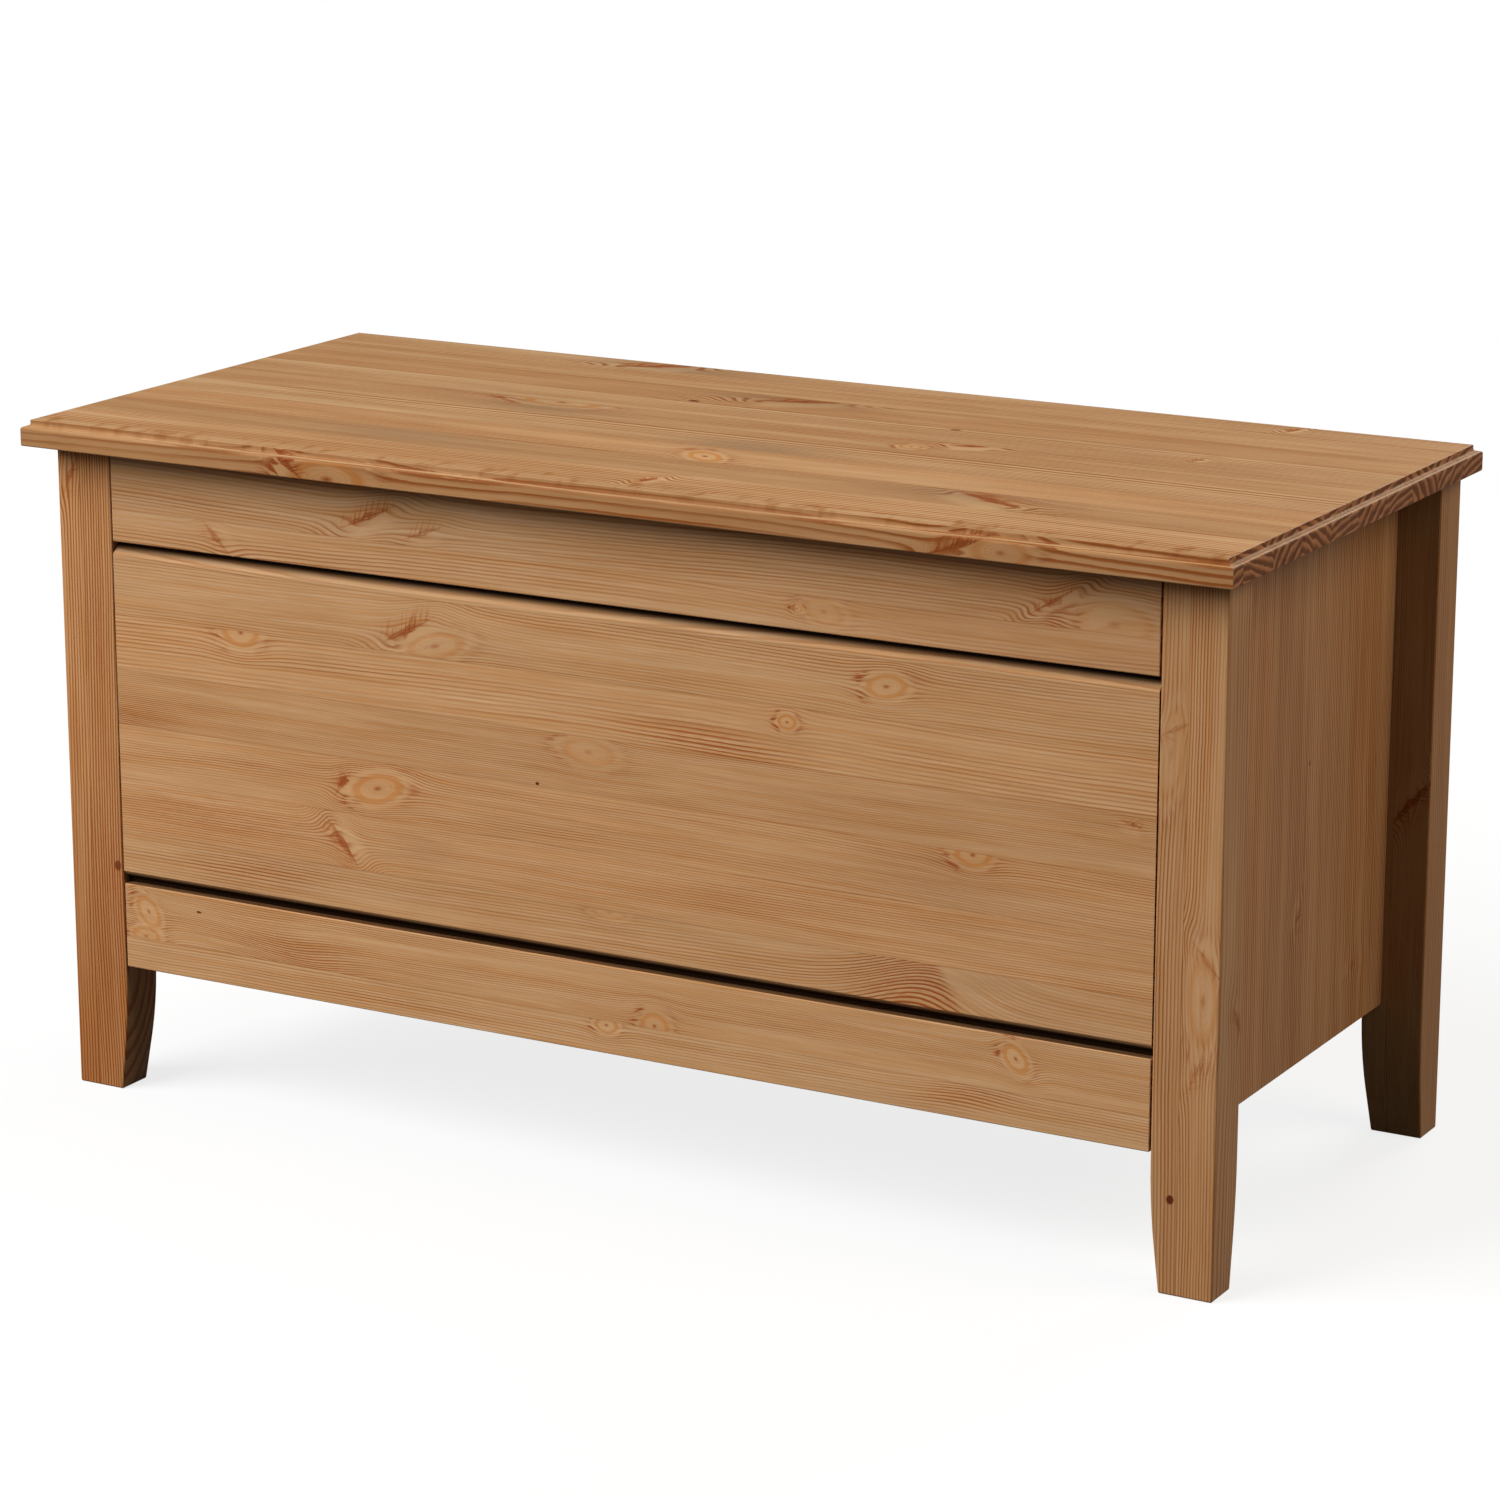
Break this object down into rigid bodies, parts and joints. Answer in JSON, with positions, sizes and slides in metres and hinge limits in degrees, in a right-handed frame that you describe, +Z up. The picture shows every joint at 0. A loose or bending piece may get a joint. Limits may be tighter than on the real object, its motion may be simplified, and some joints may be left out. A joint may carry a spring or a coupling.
{
  "type": "linen chest",
  "caption": "Free-standing pine linen chest with tapered feet, a bevelled front panel, recessed sides and a moulded lid hinged at the back with sliding stays.",
  "frame": {"origin": "On the floor, under the middle of the lid's outline.", "axes": "+X to the right along the width, +Y to the back, +Z up; the front faces -Y."},
  "size_m": [0.9, 0.41, 0.48],
  "materials": {
    "pine": "stained and oiled honey pine",
    "pine_batten": "planed pine, oiled",
    "plywood": "sanded plywood",
    "beech_dowel": "raw fluted dowel",
    "zinc_screw": "bright zinc plated",
    "hinge_brass": "brass plated",
    "stay_steel": "zinc plated",
    "felt": "pressed felt"
  },
  "bodies": {
    "carcass": {"front_left_leg": "pine", "front_right_leg": "pine", "rear_left_leg": "pine", "rear_right_leg": "pine", "front_top_rail": "pine", "front_panel": "pine", "front_bottom_rail": "pine", "left_side_panel": "pine", "right_side_panel": "pine", "back_top_rail": "pine", "back_bottom_rail": "pine", "back_panel": "plywood", "floor_panel": "plywood", "front_floor_cleat": "pine_batten", "rear_floor_cleat": "pine_batten", "left_floor_cleat": "pine_batten", "right_floor_cleat": "pine_batten", "rail_dowels": "beech_dowel", "cleat_screws": "zinc_screw", "hinge_rail_screws": "zinc_screw", "left_hinge_rail_leaf": "hinge_brass", "left_hinge_pin": "hinge_brass", "left_stay_stud": "stay_steel", "right_hinge_rail_leaf": "hinge_brass", "right_hinge_pin": "hinge_brass", "right_stay_stud": "stay_steel"},
    "lid": {"lid_board": "pine", "left_lid_batten": "pine_batten", "right_lid_batten": "pine_batten", "batten_screws": "zinc_screw", "hinge_lid_screws": "zinc_screw", "stay_bracket_screws": "zinc_screw", "lid_bumpers": "felt", "left_hinge_lid_leaf": "hinge_brass", "left_stay_bracket": "stay_steel", "left_stay_rivet": "stay_steel", "right_hinge_lid_leaf": "hinge_brass", "right_stay_bracket": "stay_steel", "right_stay_rivet": "stay_steel"},
    "left_stay": {"left_stay_arm": "stay_steel"},
    "right_stay": {"right_stay_arm": "stay_steel"}
  },
  "joints": [
    {"name": "lid_hinge", "type": "hinge", "parent": "carcass", "child": "lid", "pos_m": [0, 0.2013, 0.4592], "axis": [-1, 0, 0], "range_deg": [0, 95]},
    {"name": "left_stay_pivot", "type": "hinge", "parent": "lid", "child": "left_stay", "pos_m": [-0.3905, 0.0516, 0.4452], "axis": [-1, 0, 0], "range_deg": [-47.5, 0]},
    {"name": "right_stay_pivot", "type": "hinge", "parent": "lid", "child": "right_stay", "pos_m": [0.3905, 0.0516, 0.4452], "axis": [-1, 0, 0], "range_deg": [-47.5, 0]}
  ],
  "couplings": [
    {"joint": "left_stay_pivot", "follows": "lid_hinge", "ratio": -0.5},
    {"joint": "right_stay_pivot", "follows": "lid_hinge", "ratio": -0.5}
  ]
}
